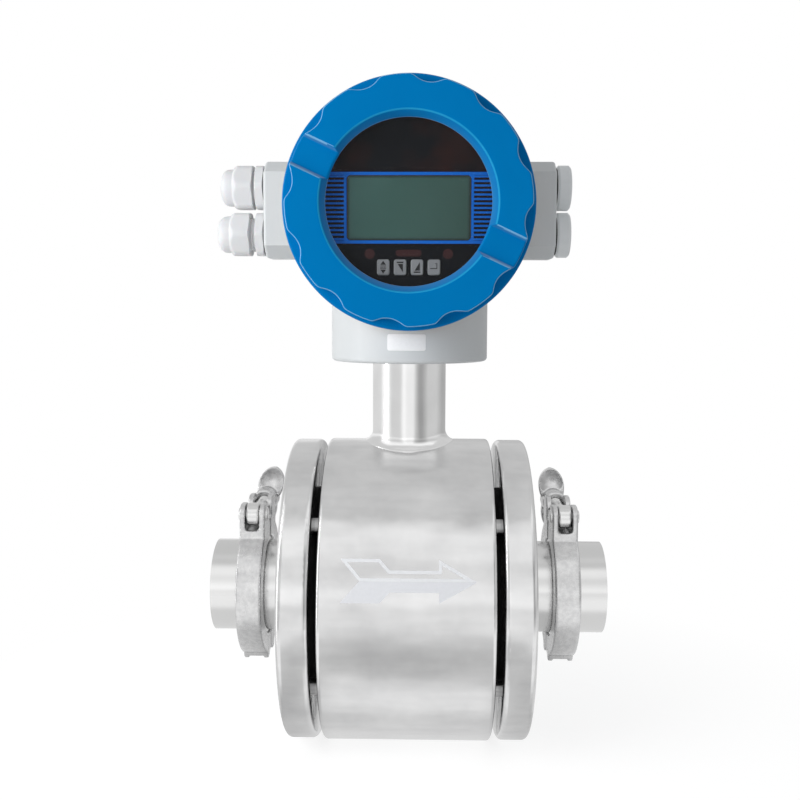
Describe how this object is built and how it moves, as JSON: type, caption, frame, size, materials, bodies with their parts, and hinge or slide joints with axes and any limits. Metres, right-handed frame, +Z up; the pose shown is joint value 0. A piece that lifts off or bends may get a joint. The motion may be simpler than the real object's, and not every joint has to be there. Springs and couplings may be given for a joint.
{
  "type": "sanitary flow meter",
  "caption": "Hygienic electromagnetic flow meter: steel barrel with hinged clamps at both ends, neck and round display head.",
  "frame": {"origin": "centre of the flow bore, midway between the two pipe ends", "axes": "+X along the flow, -Y out of the display, +Z up through the neck"},
  "size_m": [0.218, 0.168, 0.3584],
  "materials": {
    "polished_steel": "fine brushed stainless steel, bright",
    "cast_steel": "satin cast stainless steel",
    "ferrule_steel": "turned and polished stainless steel",
    "grey_paint": "light grey semi-gloss paint on cast aluminium",
    "blue_paint": "blue gloss paint on cast aluminium",
    "black_rubber": "matt black rubber",
    "white_rubber": "white rubber",
    "salmon_rubber": "pale orange rubber",
    "white_plastic": "off-white nylon",
    "grey_plastic": "grey plastic",
    "white_liner": "smooth white fluoropolymer",
    "panel_black": "black printed panel, satin",
    "lcd_glass": "dark grey-green liquid crystal cell",
    "key_grey": "light grey rubbery key",
    "clear_glass": "clear toughened glass",
    "board_green": "green circuit board",
    "copper_coil": "enamelled copper winding under tape",
    "core_steel": "plain laminated iron",
    "screw_steel": "plain steel screws"
  },
  "bodies": {
    "root": {"barrel_shell": "polished_steel", "neck_tube": "polished_steel", "end_disc_left": "polished_steel", "end_disc_right": "polished_steel", "end_plate_left": "polished_steel", "end_plate_right": "polished_steel", "clamp_front_jaw_left": "cast_steel", "clamp_front_jaw_right": "cast_steel", "clamp_rear_jaw_left": "cast_steel", "clamp_rear_jaw_right": "cast_steel", "clamp_link_left": "cast_steel", "clamp_link_right": "cast_steel", "ferrule_inner_left": "ferrule_steel", "ferrule_inner_right": "ferrule_steel", "ferrule_outer_left": "ferrule_steel", "ferrule_outer_right": "ferrule_steel", "swing_pins": "ferrule_steel", "link_pins": "ferrule_steel", "measuring_tube": "ferrule_steel", "electrodes": "ferrule_steel", "disc_screws": "screw_steel", "terminal_screws": "screw_steel", "board_pillars": "screw_steel", "housing": "grey_paint", "gap_ring_left": "black_rubber", "gap_ring_right": "black_rubber", "gland_washers": "black_rubber", "plug_gaskets": "black_rubber", "gland_seals": "black_rubber", "clamp_gasket_left": "white_rubber", "clamp_gasket_right": "white_rubber", "cover_seals": "salmon_rubber", "gland_body_upper": "white_plastic", "gland_body_lower": "white_plastic", "terminal_block": "grey_plastic", "bore_liner": "white_liner", "display_panel": "panel_black", "display_lcd": "lcd_glass", "display_board": "board_green", "main_board": "board_green", "field_coil_upper": "copper_coil", "field_coil_lower": "copper_coil", "coil_cores": "core_steel"},
    "front_cover_turn": {"front_cover": "blue_paint", "window_glass": "clear_glass", "glass_retainer": "screw_steel"},
    "rear_cover_turn": {"rear_cover": "blue_paint"},
    "gland_nut_upper_turn": {"gland_nut_upper": "white_plastic"},
    "gland_nut_lower_turn": {"gland_nut_lower": "white_plastic"},
    "plug_upper_turn": {"blanking_plug_upper": "grey_plastic"},
    "plug_lower_turn": {"blanking_plug_lower": "grey_plastic"},
    "scroll_key": {"key_scroll": "key_grey"},
    "down_key": {"key_down": "key_grey"},
    "up_key": {"key_up": "key_grey"},
    "enter_key": {"key_enter": "key_grey"},
    "left_swing": {"swing_bolt_left": "ferrule_steel"},
    "left_wing": {"wing_nut_left": "cast_steel"},
    "right_swing": {"swing_bolt_right": "ferrule_steel"},
    "right_wing": {"wing_nut_right": "cast_steel"}
  },
  "joints": [
    {"name": "front_cover_screw", "type": "hinge", "parent": "root", "child": "front_cover_turn", "pos_m": [0, -0.055, 0.2104], "axis": [0, -1, 0], "continuous": true},
    {"name": "rear_cover_screw", "type": "hinge", "parent": "root", "child": "rear_cover_turn", "pos_m": [0, 0.055, 0.2104], "axis": [0, 1, 0], "continuous": true},
    {"name": "gland_nut_upper_screw", "type": "hinge", "parent": "root", "child": "gland_nut_upper_turn", "pos_m": [-0.092, -0.008, 0.223], "axis": [-1, 0, 0], "continuous": true},
    {"name": "plug_upper_screw", "type": "hinge", "parent": "root", "child": "plug_upper_turn", "pos_m": [0.084, -0.008, 0.223], "axis": [1, 0, 0], "continuous": true},
    {"name": "gland_nut_lower_screw", "type": "hinge", "parent": "root", "child": "gland_nut_lower_turn", "pos_m": [-0.092, -0.008, 0.1978], "axis": [-1, 0, 0], "continuous": true},
    {"name": "plug_lower_screw", "type": "hinge", "parent": "root", "child": "plug_lower_turn", "pos_m": [0.084, -0.008, 0.1978], "axis": [1, 0, 0], "continuous": true},
    {"name": "scroll_key_press", "type": "slide", "parent": "root", "child": "scroll_key", "axis": [0, 1, 0], "range_m": [0, 0.0005], "stiffness_N_per_m": 800, "springref_m": -0.0005},
    {"name": "down_key_press", "type": "slide", "parent": "root", "child": "down_key", "axis": [0, 1, 0], "range_m": [0, 0.0005], "stiffness_N_per_m": 800, "springref_m": -0.0005},
    {"name": "up_key_press", "type": "slide", "parent": "root", "child": "up_key", "axis": [0, 1, 0], "range_m": [0, 0.0005], "stiffness_N_per_m": 800, "springref_m": -0.0005},
    {"name": "enter_key_press", "type": "slide", "parent": "root", "child": "enter_key", "axis": [0, 1, 0], "range_m": [0, 0.0005], "stiffness_N_per_m": 800, "springref_m": -0.0005},
    {"name": "swing_bolt_left_swing", "type": "hinge", "parent": "root", "child": "left_swing", "pos_m": [-0.086, -0.0145, 0.0435], "axis": [1, 0, 0], "range_deg": [0, 135]},
    {"name": "wing_nut_left_spin", "type": "hinge", "parent": "left_swing", "child": "left_wing", "pos_m": [-0.086, 0.03, 0.0435], "axis": [0, 1, 0], "continuous": true},
    {"name": "swing_bolt_right_swing", "type": "hinge", "parent": "root", "child": "right_swing", "pos_m": [0.086, -0.0145, 0.0435], "axis": [1, 0, 0], "range_deg": [0, 135]},
    {"name": "wing_nut_right_spin", "type": "hinge", "parent": "right_swing", "child": "right_wing", "pos_m": [0.086, 0.03, 0.0435], "axis": [0, 1, 0], "continuous": true}
  ]
}
